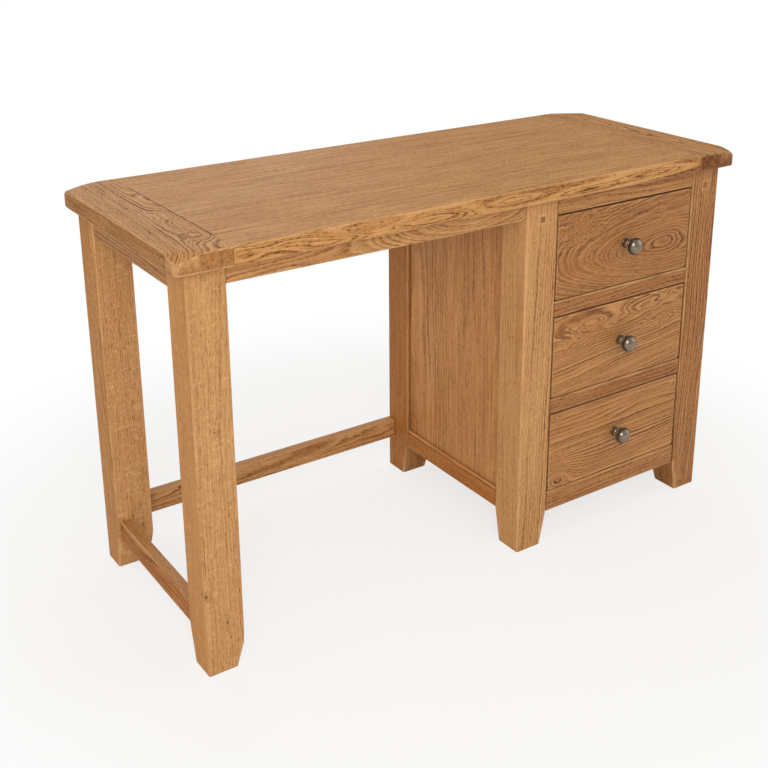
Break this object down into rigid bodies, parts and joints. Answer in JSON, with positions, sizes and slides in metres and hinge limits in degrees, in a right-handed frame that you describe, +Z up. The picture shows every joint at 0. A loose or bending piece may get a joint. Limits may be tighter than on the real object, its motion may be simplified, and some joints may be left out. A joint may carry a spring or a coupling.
{
  "type": "dressing table",
  "caption": "Solid oak dressing table with a framed top, an open kneehole between a legged end frame and a drawer pedestal, and turned metal knobs.",
  "frame": {"origin": "on the floor, under the middle of the bounding box", "axes": "+X along the table towards the pedestal, +Y to the back, +Z up; the drawers open towards -Y"},
  "size_m": [1.23, 0.5124, 0.76],
  "materials": {
    "oak_top": "satin lacquered oak",
    "oak_frame": "satin lacquered oak",
    "oak_panel": "satin lacquered oak, grain upright",
    "oak_front": "satin lacquered oak with a cathedral figure",
    "drawer_wood": "sealed plain-sawn timber",
    "plywood": "sealed oak-faced plywood",
    "plug_wood": "satin lacquered oak, darker",
    "pewter": "aged pewter plate",
    "steel": "zinc-plated screw"
  },
  "bodies": {
    "carcass": {"top_panel": "oak_top", "top_front_rail": "oak_top", "top_rear_rail": "oak_top", "top_left_end_rail": "oak_top", "top_right_end_rail": "oak_top", "leg_front_left": "oak_frame", "leg_rear_left": "oak_frame", "apron_left": "oak_frame", "stretcher_left": "oak_frame", "apron_front": "oak_frame", "apron_rear": "oak_frame", "stretcher_rear": "oak_frame", "post_front_left": "oak_frame", "post_rear_left": "oak_frame", "post_front_right": "oak_frame", "post_rear_right": "oak_frame", "side_panel_left": "oak_panel", "side_panel_right": "oak_panel", "side_lower_rail_left": "oak_frame", "side_lower_rail_right": "oak_frame", "side_upper_rail_left": "oak_frame", "side_upper_rail_right": "oak_frame", "drawer_rail_top": "oak_frame", "drawer_divider_upper": "oak_frame", "drawer_divider_lower": "oak_frame", "drawer_rail_bottom": "oak_frame", "back_panel": "plywood", "back_upper_rail": "oak_frame", "back_lower_rail": "oak_frame", "dust_panel": "plywood", "runner_top_left": "drawer_wood", "runner_top_right": "drawer_wood", "runner_middle_left": "drawer_wood", "runner_middle_right": "drawer_wood", "runner_bottom_left": "drawer_wood", "runner_bottom_right": "drawer_wood", "kicker_top": "drawer_wood", "plug_front_left": "plug_wood", "plug_front_right": "plug_wood"},
    "drawer_top": {"drawer_top_front": "oak_front", "drawer_top_side_left": "drawer_wood", "drawer_top_side_right": "drawer_wood", "drawer_top_back": "drawer_wood", "drawer_top_bottom": "plywood", "drawer_top_knob": "pewter", "drawer_top_knob_screw": "steel"},
    "drawer_middle": {"drawer_middle_front": "oak_front", "drawer_middle_side_left": "drawer_wood", "drawer_middle_side_right": "drawer_wood", "drawer_middle_back": "drawer_wood", "drawer_middle_bottom": "plywood", "drawer_middle_knob": "pewter", "drawer_middle_knob_screw": "steel"},
    "drawer_bottom": {"drawer_bottom_front": "oak_front", "drawer_bottom_side_left": "drawer_wood", "drawer_bottom_side_right": "drawer_wood", "drawer_bottom_back": "drawer_wood", "drawer_bottom_bottom": "plywood", "drawer_bottom_knob": "pewter", "drawer_bottom_knob_screw": "steel"}
  },
  "joints": [
    {"name": "drawer_top_slide", "type": "slide", "parent": "carcass", "child": "drawer_top", "axis": [0, -1, 0], "range_m": [0, 0.3]},
    {"name": "drawer_middle_slide", "type": "slide", "parent": "carcass", "child": "drawer_middle", "axis": [0, -1, 0], "range_m": [0, 0.3]},
    {"name": "drawer_bottom_slide", "type": "slide", "parent": "carcass", "child": "drawer_bottom", "axis": [0, -1, 0], "range_m": [0, 0.3]}
  ]
}
